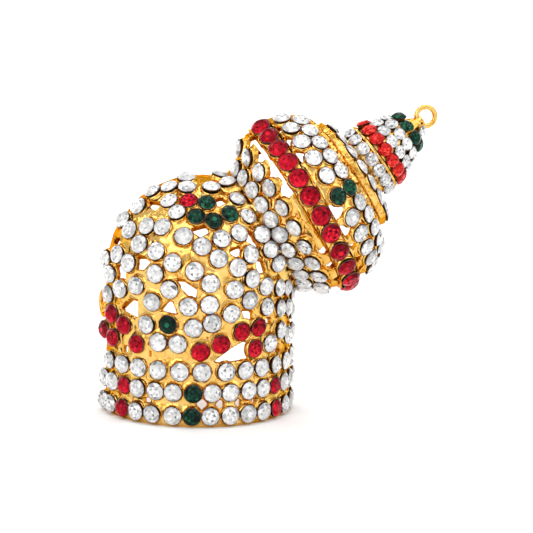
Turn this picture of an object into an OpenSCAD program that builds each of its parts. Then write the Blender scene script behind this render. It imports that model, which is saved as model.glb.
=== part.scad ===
// Half crown for a small deity figure: the front half of an elbow-shaped crown, in cast
// gilt brass set with foiled glass stones. A tube with a round dome carries a side bun,
// the bun carries a rim plate, and the plate a pointed finial with a hanging loop.
// Z is up and the rim stands on z = 0. The front faces -Y, the bun leans towards +X, and
// the crown is open at the back, in the plane y = 0.

/* [Crown shell] */
// Outer radius of the tube and of the dome above it
shell_r = 19.8; // [19.4:0.1:20.2]
// Height of the tube, up to the centre of the dome
tube_h = 31; // [30:0.5:32]
// Thickness of the cast wall
shell_wall = 1.2; // [1:0.1:1.6]
// Outer radius of the tie rings at the back edges
tie_ring_r = 3.1; // [2.8:0.1:3.4]
// Height of the tie rings above the rim
tie_ring_z = 23; // [22.5:0.1:23.5]
// Thickness of the ring and loop wire
wire_d = 1; // [0.8:0.1:1.2]

/* [Side bun] */
// Angle of the bun's axis above level
bun_tilt = 30.5; // [28:0.5:33]
// Distance from the dome's centre to the near edge of the bun's band
band_at = 23.8; // [23.5:0.1:24.2]
// Width of the band that holds the row of red stones
band_w = 4.7; // [4.4:0.1:5]
// Height of the two raised edges of the band
band_edge = 0.3; // [0.2:0.1:0.8]
// Radius of the bun's rounded shoulder, seen in section
shoulder_r = 11.3; // [10.8:0.1:11.8]
// Thickness of the bun's wall
bun_wall = 1.5; // [1.2:0.1:1.8]

/* [Rim plate] */
// Angle of the plate's axis above level
plate_tilt = 33; // [31:0.5:34]
// Distance from the dome's centre to the plate's outer face
plate_at = 38.9; // [38.5:0.1:39.5]
// Radius of the plate
plate_r = 13; // [12.6:0.1:13.4]
// Thickness of the plate
plate_t = 1.2; // [1:0.1:1.5]

/* [Finial] */
// Angle of the finial's axis above level
finial_tilt = 36.5; // [34:0.5:38]
// Radius of the finial's widest part
finial_r = 7.4; // [7:0.1:7.8]
// Thickness of the finial's wall
finial_wall = 1.5; // [1.2:0.1:1.8]
// Outer radius of the hanging loop at the tip
tip_loop_r = 2.55; // [2.4:0.05:2.8]
// Distance from the plate's outer face to the middle of the hanging loop
tip_loop_at = 20.3; // [19.8:0.1:20.8]

/* [Stones] */
// Diameter of the main stones across the girdle
stone_d = 3.85; // [3.6:0.05:3.9]
// Diameter of the red stones in the band
band_stone_d = 4.2; // [3.9:0.05:4.25]
// Diameter of the small stones on the finial
small_stone_d = 2.7; // [2.6:0.05:2.8]

/* [Hidden] */
$fn = 96;

GOLD = [0.86, 0.64, 0.22];
CLEAR = [0.88, 0.9, 0.93];
RED = [0.72, 0.05, 0.12];
GREEN = [0.03, 0.3, 0.22];

// Gap between castings that are fitted together
fit_gap = 0.1;
// Clearance of a stone's flat back above the metal
seat_gap = 0.1;
// Tie rings stand mostly behind the edge, each held by a bead of solder
tie_ring_y = 0.8;
tie_ring_turn = 8;
solder_d = 1.8;
// Reach of the box that takes the back half away, and of every hole cutter
far = 160;
cut_reach = 8;

// Outline of the collar between the dome and the band: radius at a distance u along the
// bun's axis. It leaves the dome at the foot and flares to the band.
// A sloping fillet fills the crease at the foot.
collar_foot = 14.3;
collar_edge = band_at - fit_gap;
collar_steps = 6;
fillet_top = 15.6;
fillet_foot = [15.1, 12.8];
fillet_lift = 16.5;
fillet_seat = [14.85, 13.75];
collar_top_r = 19.4;
function collar_r(u) = min(collar_top_r, 13.6 + 0.25 * (u - 13.5) + 0.04 * pow(u - 13.5, 2));
function collar_slope(u) = 0.25 + 0.08 * (u - 13.5);
// Stones of the collar lean towards the dome in their cups, which lifts them a little
collar_lean = 12;
collar_cup = 0.2;

// Middle of the shoulder arc, which starts square to the band
shoulder_u = 27.5;
shoulder_v = shell_r - shoulder_r;
shoulder_steps = 12;

// Finial, from the plate outwards: [distance, radius as a share of the widest]
FINIAL_OUTLINE = [
    [-0.6, 0.93], [3, 1], [5.7, 1], [5.7, 1.07], [6.3, 1.07], [6.3, 0.98], [8, 0.93],
    [10.4, 0.79], [12.7, 0.65], [15.2, 0.48], [16.5, 0.3]
];
finial_hollow = 11.5;

// Ferrule, from inside the cone to its tip: [distance, radius]
FERRULE_OUTLINE = [[15.9, 2.3], [17, 2.05], [18.5, 1.4], [19.3, 1.05]];

// Rows of stones round the tube: [height, turns, colours], one letter a stone,
// with c for clear, r for red and g for green. A turn of 0 faces the front, and +90 is
// the right-hand back edge.
TUBE_ROWS = [
    [2.5, [-86, -73.5, -60.5, -49, -37.5, -24.5, -13, -2, 10, 22, 34, 45.5, 57, 69, 81],
        "ccrcccgccccrccc"],
    [7.5, [-84, -71.5, -59, -48, -35.5, -24.5, -12.5, -1, 10, 22, 33, 44, 55.5, 67, 79],
        "ccrcccgccccrccc"],
    [12, [-75, -61, -47.5, -34, -20.5, -7.5, 7, 19.5, 31.5, 44, 57, 70, 82.5],
        "ccccccccccccc"]
];

// Scattered stones of the tube and the dome: [turn, level, colour]. The level is measured
// up the outer face, along the tube and then over the dome towards its top.
SCATTERED = [
    [-8.5, 16.5, "r"], [26, 16.5, "r"], [-49, 17, "r"], [-71.5, 17, "r"], [38.5, 17, "c"],
    [60, 17.5, "c"], [73, 17.5, "c"], [-34, 18, "c"], [-22, 18, "c"], [3.5, 18, "r"],
    [-86, 17.8, "r"], [49.5, 19.2, "c"], [16.5, 20.5, "r"], [-60, 20.5, "r"],
    [28.5, 21, "r"], [-42, 21.5, "c"], [-13, 21.5, "c"], [71, 22, "c"], [-28, 22, "g"],
    [-73.5, 22, "r"], [-2, 22.5, "c"], [59.5, 23.5, "c"], [48.5, 24, "c"], [9.5, 24.5, "c"],
    [35, 25, "c"], [-78.5, 26, "c"], [-16, 26, "c"], [70, 25.8, "c"], [-38.5, 26.5, "c"],
    [-3.5, 26.5, "c"], [21.5, 27, "c"], [-64, 28, "c"], [58, 28, "c"], [47, 28.5, "c"],
    [11.5, 29.5, "c"], [34, 29.5, "c"], [-50, 29.5, "c"], [-27.5, 29.5, "c"],
    [-76.5, 30.5, "c"], [-3.5, 31, "c"], [23, 31.5, "c"], [-86, 33, "c"],
    [-36.5, 32.5, "c"], [-13, 33.5, "c"], [13.5, 34, "c"], [-57, 33.8, "c"], [-69, 35, "c"],
    [-26, 35, "c"], [1.5, 36, "c"], [23, 36.5, "c"], [-37.5, 37, "c"], [-51, 38, "c"],
    [-8.5, 38.5, "c"], [-20.5, 40.5, "c"], [4.5, 40, "c"], [-64, 40.5, "c"],
    [17.5, 41, "c"], [-49.5, 42, "c"], [-36.5, 42.2, "c"], [-79, 42, "c"],
    [0.5, 44, "g"], [30, 44.5, "c"], [-70.5, 46, "c"], [14.5, 45.5, "g"],
    [-13, 45, "g"], [-28.5, 45.8, "c"], [-3.5, 48.5, "g"], [-20.5, 49, "r"],
    [-39.5, 48.5, "c"], [29.5, 49, "c"], [-69, 50.3, "c"], [-27, 53, "c"], [-52, 52.5, "c"],
    [6, 53, "c"], [-42, 56.8, "c"], [62, 57.5, "c"]
];

// Stones at the collar's foot, each let into it in a round seat: [turn, level]
LET_IN = [[70, 25.8], [58, 28], [30, 44.5], [29.5, 49], [62, 57.5]];

// Rows of clear stones on the collar: [distance along the bun's axis, turns]. Here a turn
// of 0 also faces the front, and the turns run round the bun's own axis.
COLLAR_ROWS = [
    [17.6, [-71.5, -57.5, -43.5, -29.5, -16, -2.5, 11.5, 25.5, 39, 53, 67, 81]],
    [20.8, [-84, -66, -48.5, -34.5, -18.5, -3, 12.5, 27.5, 42.5, 60, 76]]
];
// Stones on the fillet between the dome and the collar
FILLET_TURNS = [-64.5, -9.5, 4.5, 18.5];

// Red stones in the band
BAND_TURNS = [-78, -64.5, -52, -40, -28, -15.5, -2.5, 10, 24, 39, 55, 70, 84];

// Two rows of stones on the bun's shoulder: [turn, lift above square to the axis, colour]
BUN_STONES = [
    [-75, 16, "c"], [-61.5, 16.5, "c"], [-48, 17, "c"], [-34.5, 18, "c"], [-21, 19.5, "c"],
    [-7, 19, "g"], [9.5, 21, "c"], [22.5, 21.5, "c"], [35.5, 21.5, "c"], [48.5, 21.5, "c"],
    [62, 21.5, "c"], [75.5, 21.5, "c"],
    [-68, 32.5, "c"], [-55.5, 33.5, "c"], [-43.5, 34.5, "c"], [-31.5, 36, "c"],
    [-19.5, 37.5, "c"], [-7, 36.5, "g"], [5.5, 38.5, "c"], [17.5, 41.5, "c"],
    [30.5, 41.5, "c"], [43, 41.5, "c"], [55.5, 41, "c"], [68, 41, "c"], [80.5, 41, "c"]
];

// Outer face of the plate: a slope that falls from a raised inner edge to a low lip at
// the rim, and the ring of clear stones halfway down it
plate_lip_z = 0.3;
plate_foot = [12.6, -0.1];
plate_ridge = [8.9, 1.1];
plate_ridge_in = 7.5;
plate_slope = atan((plate_ridge[1] - plate_foot[1]) / (plate_foot[0] - plate_ridge[0]));
plate_ring_r = 11;
PLATE_TURNS = [-75, -54, -34, -14, 6, 27, 48, 70];

// Rows of small stones on the finial: [distance from the plate, radius, lift, turns,
// colour]
FINIAL_ROWS = [
    [4.3, 7.45, 0, [-76, -55, -34, -13, 8, 29, 50, 71], "c"],
    [7.85, 6.95, 16, [-78, -56, -34, -12, 10, 32, 54, 76], "r"],
    [10.25, 6, 24, [-68, -42, -16, 10, 36, 62], "c"],
    [12.65, 4.9, 28, [-80, -50, -20, 10, 40, 70], "c"],
    [14.95, 3.75, 32, [-68, -25, 18, 61], "g"]
];
LAST_FINIAL_STONE = [17.15, 2.1, 26, [41], "c"];

// Openings through the tube and the dome: [turn, level, outline], with the outline's
// points measured across and up from the middle
SHELL_HOLES = [
    [-7, 5, [[-1.2, 0], [0, 1.2], [1.2, 0], [0, -1.2]]],
    [4.2, 4.9, [[-1, 0], [0, 1], [1, 0], [0, -1]]],
    [16.2, 4.9, [[-0.9, 0], [0, 0.9], [0.9, 0], [0, -0.9]]],
    [28, 4.9, [[-0.7, 0], [0, 0.7], [0.7, 0], [0, -0.7]]],
    [-42, 5.1, [[-1, 0.3], [0.4, 0.5], [1, -0.3], [-0.4, -0.5]]],
    [-66, 5, [[-0.8, 0], [0, 0.8], [0.8, 0], [0, -0.8]]],
    [63, 5, [[-0.8, 0], [0, 0.8], [0.8, 0], [0, -0.8]]],
    [74, 5, [[-0.8, 0], [0, 0.8], [0.8, 0], [0, -0.8]]],
    [-60.5, 15.2, [[-0.7, 0.6], [0.7, 0.6], [0.7, -0.6], [-0.7, -0.6]]],
    [13.5, 15.9, [[-4.6, -1.7], [-0.6, 1], [2, 2.1], [3, 1.8], [3, -1.5], [-3, -1.9]]],
    [50, 15.3, [[-1.2, -0.9], [0, 1.3], [1.2, -0.9]]],
    [72, 14.3, [[-1, 0], [0, 0.6], [1, 0], [0, -0.6]]],
    [-56, 24.3, [[-3.2, -0.6], [-0.2, 1.8], [2, 1.7], [2.1, -1.7], [-0.7, -1.1]]],
    [-28, 25.7, [[-1.9, -0.9], [-0.1, 1.3], [0.5, 1.1], [1.6, -1.4]]],
    [21.5, 23.8, [[-1.4, 1], [1, 0.7], [1.2, -1.1], [-0.8, -0.6]]],
    [39, 21.8, [[-0.8, 0.5], [0.8, 0.4], [0.9, -0.5], [-0.8, -0.4]]],
    [80, 24.3, [[-0.9, -0.7], [0, 1.1], [0.9, -0.7]]],
    [-17, 29.7, [[-2.3, 1.8], [-1, 1.8], [2, 0], [1.8, -1.9], [0.7, -1.8], [-1.2, 0]]],
    [-67.5, 31.1, [[-1.7, 1.8], [0.9, 1.7], [2.2, 0.6], [1.9, -1.8], [-0.4, -1.9], [-1.9, -0.2]]],
    [-47.5, 34.3, [[-1.5, 1.1], [0.1, 1.3], [2, 0.5], [0.5, -1.4], [-1.1, -1.5]]],
    [31.5, 33.8, [[-0.6, 1.9], [0.7, 1.2], [1.6, -1.4], [-0.5, -1.5], [-1.2, -0.2]]],
    [14, 37.3, [[-1.3, 0.4], [1.1, 1.2], [1.3, -0.2], [0, -1.1], [-1.2, -0.4]]],
    [28, 39.7, [[0, 2], [0.6, 0.7], [1.8, -1.6], [0.6, -1.7], [-1.5, -0.2], [-1.3, 0.5]]],
    [-79, 37.5, [[-1.8, 0.3], [1.6, 0.7], [2, -0.4], [-1, -0.8]]],
    [-9.5, 42, [[-1.8, 0.5], [1.2, 1.4], [1.7, -0.3], [0, -1.3], [-1.3, -0.4]]],
    [12.5, 49.3, [[-0.9, 0.9], [0.7, 1.3], [1.6, 0], [-0.2, -0.9], [-1.2, -1.3]]],
    [-55, 47.3, [[-2.4, 1], [0.6, 1], [1.5, -0.2], [1.2, -1.1], [-0.5, -0.7]]]
];

// Openings along the collar's edge, between its scallops: [turn, outline], measured from
// the edge down
COLLAR_HOLES = [
    [-75, [[-1.7, 0.5], [-1.7, -0.7], [-0.8, -1.7], [0.5, -2], [1.4, -0.9], [3.4, -0.7], [3.4, 0.5]]],
    [-57.5, [[-3.3, 0.5], [-3.3, -0.7], [-1.6, -0.9], [-0.9, -1.9], [0.3, -2.3], [1.3, -1.7],
        [1.6, -0.8], [3.2, -0.6], [3.2, 0.5]]],
    [-41.5, [[-3, 0.5], [-3, -0.6], [-1.6, -0.9], [-1, -2], [0.3, -2.4], [1.2, -1.8],
        [1.5, -0.7], [2.9, -0.5], [2.9, 0.5]]],
    [-26.5, [[-2.8, 0.5], [-2.8, -0.5], [-1.5, -0.8], [-1, -2], [0.8, -2.2], [1.7, -1.9], [1.3, 0.5]]],
    [20.5, [[-1.1, -0.3], [-0.5, -1.4], [0.6, -1.4], [1.1, -0.3], [0.8, 0.5], [-0.8, 0.5]]],
    [34.5, [[-1.1, -0.3], [-0.6, -1.3], [0.6, -1.3], [1.1, -0.3], [0.8, 0.5], [-0.8, 0.5]]],
    [52, [[-0.9, -0.2], [-0.4, -1.1], [0.4, -1.1], [0.9, -0.2], [0.8, 0.5], [-0.8, 0.5]]]
];

// Openings through the bun, between its stones: [turn, lift, outline]
BUN_HOLES = [
    [-67, 9, [[-1.6, -0.4], [-0.3, 1], [1.5, -0.3], [0.1, -0.7]]],
    [-53.5, 9, [[-1.8, -0.3], [-0.4, 1], [0.5, 1], [1.9, -0.6], [0.1, -0.7]]],
    [-40.5, 9, [[-1.7, -0.7], [-0.2, 1.1], [0.6, 0.9], [1.7, -0.5]]],
    [1, 9.5, [[-2, -0.7], [-1, 0.8], [0.2, 1.9], [1.2, 1.1], [2, -0.7]]],
    [15.5, 9.8, [[-1.9, -0.8], [0.1, 1.8], [1.9, -0.4], [-0.2, -0.8]]],
    [28.8, 9.8, [[-1, -0.5], [0, 0.9], [1, -0.4]]],
    [42.2, 9.8, [[-1, -0.5], [0, 0.8], [1, -0.5]]],
    [55.5, 9.8, [[-1.4, -0.7], [0, 1.2], [1.4, -0.7]]],
    [68.5, 9.8, [[-1.4, -0.7], [0, 1.2], [1.4, -0.7]]],
    [24, 52.5, [[-1.2, 0.5], [0.1, -1.3], [1.2, 0.5]]],
    [-38.5, 46, [[-1, 0.7], [0, -0.9], [1, 0.7]]],
    [-26.5, 48, [[-0.9, 0.6], [0, -0.9], [0.9, 0.6]]]
];

// Level on the shell turned into a lift above square, a height and a radius
function lift_of(level) = level <= tube_h ? 0 : (level - tube_h) / shell_r * 180 / PI;
function height_of(level) = level <= tube_h ? level : tube_h + shell_r * sin(lift_of(level));
function radius_of(level) = shell_r * cos(lift_of(level));

// Every stone of the shell as [turn, level, colour]
SHELL_STONES = [
    for (row = TUBE_ROWS) for (i = [0 : len(row[1]) - 1]) [row[1][i], row[0], row[2][i]],
    each SCATTERED
];
RED_STONES = [for (s = SHELL_STONES) if (s[2] == "r") s];
GREEN_STONES = [for (s = SHELL_STONES) if (s[2] == "g") s];
// Clear stones up to this level belong to the tube's field, and the others to the dome's
tube_field_top = 23;

BUN_GREEN_STONES = [for (s = BUN_STONES) if (s[2] == "g") s];

// Puts its children on a turned wall, with their z axis square to the wall
module on_wall(turn, height, radius, lift = 0) {
    rotate([0, 0, turn]) translate([0, -radius, height]) rotate([90 - lift, 0, 0]) children();
}

module on_shell(turn, level) {
    on_wall(turn, height_of(level), radius_of(level), lift_of(level)) children();
}

// The bun, the plate and the finial each have a tilted axis of their own
module on_bun() {
    translate([0, 0, tube_h]) rotate([0, 90 - bun_tilt, 0]) children();
}

module on_collar(turn, u) {
    on_bun() on_wall(turn, u, collar_r(u), -atan(collar_slope(u))) children();
}

module on_fillet(turn) {
    on_bun() on_wall(turn, fillet_seat[1], fillet_seat[0], fillet_lift) children();
}

module on_shoulder(turn, lift) {
    on_bun() on_wall(turn, shoulder_u + shoulder_r * sin(lift),
        shoulder_v + shoulder_r * cos(lift), lift) children();
}

module on_plate() {
    on_bun() translate([0, 0, plate_at]) rotate([0, bun_tilt - plate_tilt, 0]) children();
}

module on_finial() {
    on_bun() translate([0, 0, plate_at]) rotate([0, bun_tilt - finial_tilt, 0]) children();
}

// Takes away everything behind the plane y = 0
module front_half() {
    difference() {
        children();
        translate([-far / 2, 0, -far / 2]) cube(far);
    }
}

module hole(outline) {
    translate([0, 0, -cut_reach / 2]) linear_extrude(cut_reach) polygon(outline);
}

// Round brilliant with a table and eight crown facets. Its foiled back is cut short just
// above the metal that it is glued to.
module stone(d = stone_d) {
    r = d / 2;
    ring = [for (i = [0 : 7]) i * 45 + 22.5];
    table_z = 0.78 * r;
    girdle_z = 0.44 * r;
    levels = [[table_z, 0.58 * r], [girdle_z, r], [seat_gap, r - girdle_z + seat_gap]];
    points = [for (l = levels) for (a = ring) [l[1] * cos(a), l[1] * sin(a), l[0]]];
    sides = [
        for (k = [0, 8]) for (i = [0 : 7])
            let (n = (i + 1) % 8) [k + i, k + n, k + 8 + n, k + 8 + i]
    ];
    polyhedron(points, [[for (i = [7 : -1 : 0]) i], [for (i = [0 : 7]) i + 16], each sides]);
}

// Room cut for a stone, from just above the metal that it stands on
module seat() {
    translate([0, 0, 0.03]) cylinder(h = 2, r = stone_d / 2 + 0.12, $fn = 24);
}

module shell_stone(s) {
    on_shell(s[0], s[1]) stone();
}

module ring(outer_r) {
    rotate_extrude() translate([outer_r - wire_d / 2, 0]) circle(d = wire_d, $fn = 24);
}

// Tube and dome turned in one piece, with the collar, cut open and with both tie rings
module crown_shell() {
    inner_r = shell_r - shell_wall;
    collar_outline = [
        fillet_foot,
        for (i = [0 : collar_steps])
            let (u = fillet_top + (collar_edge - fillet_top) * i / collar_steps)
                [collar_r(u), u],
        for (i = [collar_steps : -1 : 0])
            let (u = collar_foot + (collar_edge - collar_foot) * i / collar_steps)
                [collar_r(u) - shell_wall, u]
    ];
    color(GOLD) union() {
        difference() {
            front_half() {
                rotate_extrude() union() {
                    translate([inner_r, 0]) square([shell_wall, tube_h]);
                    translate([0, tube_h]) intersection() {
                        difference() {
                            circle(shell_r);
                            circle(inner_r);
                        }
                        square(shell_r);
                    }
                }
                on_bun() rotate_extrude() polygon(collar_outline);
            }
            for (h = SHELL_HOLES) on_shell(h[0], h[1]) hole(h[2]);
            for (h = COLLAR_HOLES) on_bun() on_wall(h[0], collar_edge, collar_top_r) hole(h[1]);
            for (s = LET_IN) on_shell(s[0], s[1]) seat();
        }
        for (side = [-1, 1]) {
            translate([side * (shell_r + 0.3), tie_ring_y, tie_ring_z])
                rotate([0, 90, side * tie_ring_turn]) ring(tie_ring_r);
            translate([side * (shell_r + 0.3), -1.4, tie_ring_z]) sphere(d = solder_d);
        }
    }
}

// Band with raised edges and the rounded shoulder, cut off square at the rim plate
module bun_shell() {
    edge_w = 0.4;
    shoulder = [for (i = [0 : shoulder_steps]) 75 * i / shoulder_steps];
    band_outline = [
        [shell_r - bun_wall, band_at], [shell_r + band_edge, band_at],
        [shell_r + band_edge, band_at + edge_w], [shell_r, band_at + edge_w],
        [shell_r, band_at + band_w - edge_w], [shell_r + band_edge, band_at + band_w - edge_w],
        [shell_r + band_edge, band_at + band_w]
    ];
    shoulder_out = [
        for (a = shoulder) if (shoulder_u + shoulder_r * sin(a) > band_at + band_w + 0.1)
            [shoulder_v + shoulder_r * cos(a), shoulder_u + shoulder_r * sin(a)]
    ];
    shoulder_in = [
        for (i = [shoulder_steps : -1 : 0])
            [shoulder_v + (shoulder_r - bun_wall) * cos(shoulder[i]),
             shoulder_u + (shoulder_r - bun_wall) * sin(shoulder[i])]
    ];
    color(GOLD) difference() {
        front_half() on_bun() rotate_extrude()
            polygon([
                each band_outline, [shell_r - 0.05, band_at + band_w], each shoulder_out, each shoulder_in
            ]);
        on_plate() translate([-far / 2, -far / 2, -plate_t - fit_gap]) cube(far);
        for (h = BUN_HOLES) on_shoulder(h[0], h[1]) hole(h[2]);
    }
}

// Half disc that closes the end of the bun, open in the middle behind the finial
module rim_plate() {
    hole_r = finial_r - finial_wall - 1;
    color(GOLD) front_half() on_plate() rotate_extrude() polygon([
        [hole_r, -plate_t], [plate_r, -plate_t], [plate_r, plate_lip_z],
        [plate_r - 0.25, plate_lip_z], plate_foot, plate_ridge,
        [plate_ridge_in, plate_ridge[1] - 0.2], [plate_ridge_in, 0], [hole_r, 0]
    ]);
}

// Hollow half cone with a raised edge under the red row, a solid ferrule and the loop
module finial_shell() {
    outline = [for (p = FINIAL_OUTLINE) [p[1] * finial_r, p[0]]];
    last = FINIAL_OUTLINE[len(FINIAL_OUTLINE) - 1];
    color(GOLD) union() {
        difference() {
            front_half() on_finial() difference() {
                rotate_extrude() polygon([[0, FINIAL_OUTLINE[0][0]], each outline, [0, last[0]]]);
                translate([0, 0, -1]) cylinder(h = 7.3, r = finial_r * 0.9 - finial_wall);
                translate([0, 0, 6.2]) cylinder(h = finial_hollow - 6.2,
                    r1 = finial_r * 0.9 - finial_wall, r2 = finial_r * 0.66 - finial_wall);
            }
            on_plate() translate([-far / 2, -far / 2, fit_gap - far]) cube(far);
        }
        on_finial() {
            rotate_extrude() polygon([
                [0, FERRULE_OUTLINE[0][0]], for (p = FERRULE_OUTLINE) [p[1], p[0]],
                [0, FERRULE_OUTLINE[len(FERRULE_OUTLINE) - 1][0]]
            ]);
            translate([0, 0, tip_loop_at]) rotate([90, 0, 0]) ring(tip_loop_r);
        }
    }
}

module tube_clear_stones() {
    color(CLEAR) for (s = SHELL_STONES) if (s[2] == "c" && s[1] < tube_field_top) shell_stone(s);
}

module dome_clear_stones() {
    color(CLEAR) for (s = SHELL_STONES) if (s[2] == "c" && s[1] >= tube_field_top) shell_stone(s);
}

module collar_clear_stones() {
    color(CLEAR) {
        for (row = COLLAR_ROWS) for (a = row[1]) on_collar(a, row[0])
            translate([0, 0, collar_cup]) rotate([collar_lean, 0, 0]) stone();
        for (a = FILLET_TURNS) on_fillet(a) stone();
    }
}

module bun_clear_stones() {
    color(CLEAR) for (s = BUN_STONES) if (s[2] == "c") on_shoulder(s[0], s[1]) stone();
}

module plate_clear_stones() {
    color(CLEAR) on_plate() for (a = PLATE_TURNS)
        on_wall(a, plate_foot[1] + (plate_foot[0] - plate_ring_r) * tan(plate_slope), plate_ring_r,
            90 - plate_slope) stone();
}

module finial_row(row) {
    on_finial() for (a = row[3]) on_wall(a, row[0], row[1], row[2]) stone(small_stone_d);
}

module finial_clear_stones() {
    color(CLEAR) {
        for (row = FINIAL_ROWS) if (row[4] == "c") finial_row(row);
        finial_row(LAST_FINIAL_STONE);
    }
}

module finial_red_stones() {
    color(RED) for (row = FINIAL_ROWS) if (row[4] == "r") finial_row(row);
}

module finial_green_stones() {
    color(GREEN) for (row = FINIAL_ROWS) if (row[4] == "g") finial_row(row);
}

module red_stone(i) {
    color(RED) shell_stone(RED_STONES[i - 1]);
}

module green_stone(i) {
    color(GREEN) shell_stone(GREEN_STONES[i - 1]);
}

module band_stone(i) {
    color(RED) on_bun() on_wall(BAND_TURNS[i - 1], band_at + band_w / 2, shell_r)
        stone(band_stone_d);
}

module bun_green_stone(i) {
    color(GREEN) on_shoulder(BUN_GREEN_STONES[i - 1][0], BUN_GREEN_STONES[i - 1][1]) stone();
}

crown_shell();
bun_shell();
rim_plate();
finial_shell();
tube_clear_stones();
dome_clear_stones();
collar_clear_stones();
bun_clear_stones();
plate_clear_stones();
finial_clear_stones();
finial_red_stones();
finial_green_stones();
for (i = [1 : len(RED_STONES)])
    red_stone(i);
for (i = [1 : len(GREEN_STONES)])
    green_stone(i);
for (i = [1 : len(BAND_TURNS)])
    band_stone(i);
for (i = [1 : len(BUN_GREEN_STONES)])
    bun_green_stone(i);
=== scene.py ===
import math

import bpy
import numpy as np
from mathutils import Matrix, Vector


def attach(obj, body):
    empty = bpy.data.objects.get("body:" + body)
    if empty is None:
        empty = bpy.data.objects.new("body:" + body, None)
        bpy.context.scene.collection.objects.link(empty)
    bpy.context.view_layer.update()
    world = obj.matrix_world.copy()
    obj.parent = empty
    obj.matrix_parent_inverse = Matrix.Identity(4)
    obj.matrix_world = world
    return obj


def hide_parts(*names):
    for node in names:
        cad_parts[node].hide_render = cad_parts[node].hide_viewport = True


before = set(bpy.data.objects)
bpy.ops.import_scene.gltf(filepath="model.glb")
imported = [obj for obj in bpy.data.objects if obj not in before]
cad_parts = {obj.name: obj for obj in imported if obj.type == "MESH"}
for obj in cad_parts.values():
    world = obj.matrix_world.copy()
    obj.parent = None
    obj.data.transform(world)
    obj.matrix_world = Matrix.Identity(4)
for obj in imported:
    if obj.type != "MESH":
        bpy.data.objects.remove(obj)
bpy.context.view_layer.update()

MM = 0.001

# ------------------------ the crown's casting
# The front half of a tube with a round dome on it, and a flared collar that leads to the
# side bun: cast brass in one piece, pierced by hand between the stones' seats, polished
# roughly and gilt. The rings at its two back edges are bent wire, soldered on.

SHELL_R, TUBE_H, WALL = 19.8, 31.0, 1.2
BUN_TILT = 30.5


def tilted(angle, start=(0.0, 0.0, TUBE_H)):
    """Frame of a tilted axis: a turn about Y that leans the z axis from upright to the
    given angle above level, and the place where it starts."""
    a = math.radians(90 - angle)
    turn = np.array([[math.cos(a), 0, math.sin(a)], [0, 1, 0], [-math.sin(a), 0, math.cos(a)]])
    return turn, np.array(start)


UPRIGHT = (np.eye(3), np.zeros(3))
ON_BUN = tilted(BUN_TILT)


def wall_frame(frame_of, turn, height, radius, lift):
    """Places on a wall of revolution: the origin lies at the given turn, height and
    radius, x runs round the axis, y runs up the wall and z points out of it."""
    a, b = math.radians(turn), math.radians(lift)
    out = np.array([math.sin(a) * math.cos(b), -math.cos(a) * math.cos(b), math.sin(b)])
    side = np.array([math.cos(a), math.sin(a), 0.0])
    axes = np.stack([side, np.cross(out, side), out], axis=1)
    origin = np.array([radius * math.sin(a), -radius * math.cos(a), height])
    return frame_of[0] @ axes, frame_of[0] @ origin + frame_of[1]


def shell_level(turn, level):
    """Place on the tube or the dome at a level measured up the outer face."""
    lift = max(0.0, math.degrees((level - TUBE_H) / SHELL_R))
    height = level if level <= TUBE_H else TUBE_H + SHELL_R * math.sin(math.radians(lift))
    return wall_frame(UPRIGHT, turn, height, SHELL_R * math.cos(math.radians(lift)), lift)


def diamond(across, up=None):
    """Outline of a four-pointed opening from half its width and half its height."""
    up = up or across
    return [(-across, 0), (0, up), (across, 0), (0, -up)]


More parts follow.
